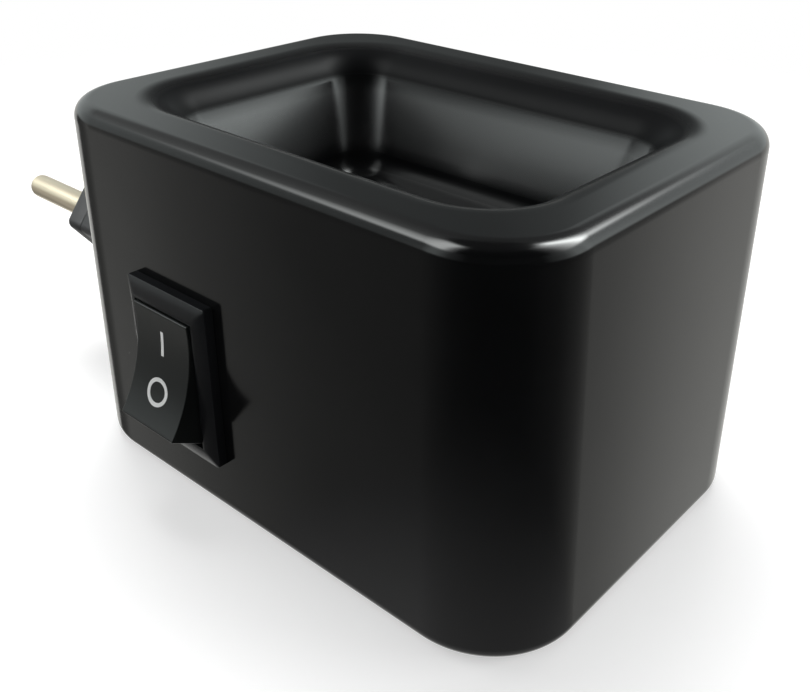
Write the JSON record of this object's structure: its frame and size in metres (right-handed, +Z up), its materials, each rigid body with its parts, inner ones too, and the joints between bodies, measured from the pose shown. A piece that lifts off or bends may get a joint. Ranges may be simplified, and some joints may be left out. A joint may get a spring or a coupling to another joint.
{
  "type": "wax melt warmer",
  "caption": "Plug-in electric wax melt warmer: a glazed ceramic block with a melting dish on top, a rocker switch on one side and a swivelling mains plug on one end.",
  "frame": {"origin": "centre of the flat base, on the surface that the warmer stands on", "axes": "+X away from the plug along the long side, +Y to the back, away from the switch, +Z up through the dish"},
  "size_m": [0.1198, 0.0644, 0.05],
  "materials": {
    "black_glaze": "deep gloss black glaze",
    "base_plastic": "fine matt moulded",
    "zinc_steel": "zinc plated",
    "brass": "plain turned",
    "switch_nylon": "satin moulded",
    "rocker_nylon": "satin moulded",
    "white_print": "pad printed",
    "steel": "plain",
    "copper_alloy": "bright strip",
    "plug_plastic": "fine matt moulded",
    "nickel_plate": "nickel plated",
    "phenolic": "moulded",
    "natural_nylon": "moulded",
    "aluminium": "mill finish",
    "amber_film": "film",
    "heater_ceramic": "sintered",
    "silicone_seal": "moulded",
    "mica": "sheet",
    "glass_sleeve": "woven sleeve",
    "clear_nylon": "translucent",
    "brown_lead": "insulation",
    "red_lead": "insulation",
    "blue_lead": "insulation"
  },
  "bodies": {
    "housing": {"ceramic_body": "black_glaze", "base_plate": "base_plastic", "base_screws": "zinc_steel", "base_inserts": "brass", "switch_housing": "switch_nylon", "terminal_common": "copper_alloy", "terminal_load": "copper_alloy", "swivel_bushing": "plug_plastic", "bushing_nut": "natural_nylon", "contact_cap": "natural_nylon", "contact_leaf_button": "copper_alloy", "contact_leaf_ring": "copper_alloy", "heat_spreader": "aluminium", "heater_shell": "aluminium", "insulation_film": "amber_film", "ptc_chips": "heater_ceramic", "electrode_lower": "aluminium", "electrode_upper": "aluminium", "heater_end_seals": "silicone_seal", "mica_pad": "mica", "heater_clamp": "steel", "clamp_screws": "zinc_steel", "clamp_inserts": "brass", "thermal_fuse": "steel", "fuse_sleeve": "glass_sleeve", "joint_splices": "clear_nylon", "spade_receptacles": "clear_nylon", "wire_live_in": "brown_lead", "wire_switched": "red_lead", "wire_fuse_to_heater": "red_lead", "wire_return": "blue_lead"},
    "rocker": {"switch_rocker": "rocker_nylon", "rocker_marks": "white_print", "switch_plunger": "steel", "switch_spring": "steel"},
    "seesaw": {"switch_contact": "copper_alloy"},
    "plug": {"plug_body": "plug_plastic", "plug_cap": "plug_plastic", "pin_front": "nickel_plate", "pin_back": "nickel_plate", "pin_strap_ring": "brass", "pin_strap_button": "brass", "slip_disc": "phenolic", "slip_ring": "brass", "slip_button": "brass", "retaining_clip": "steel"}
  },
  "joints": [
    {"name": "rocker_tilt", "type": "hinge", "parent": "housing", "child": "rocker", "pos_m": [-0.0129, -0.028, 0.0197], "axis": [1, 0, 0], "range_deg": [0, 30]},
    {"name": "seesaw_tilt", "type": "hinge", "parent": "housing", "child": "seesaw", "pos_m": [-0.0129, -0.0198, 0.0197], "axis": [1, 0, 0], "range_deg": [-14, 0]},
    {"name": "plug_swivel", "type": "hinge", "parent": "housing", "child": "plug", "pos_m": [-0.038, 0, 0.0217], "axis": [1, 0, 0], "range_deg": [-90, 90]}
  ],
  "couplings": [
    {"joint": "seesaw_tilt", "follows": "rocker_tilt", "ratio": -0.46667}
  ]
}
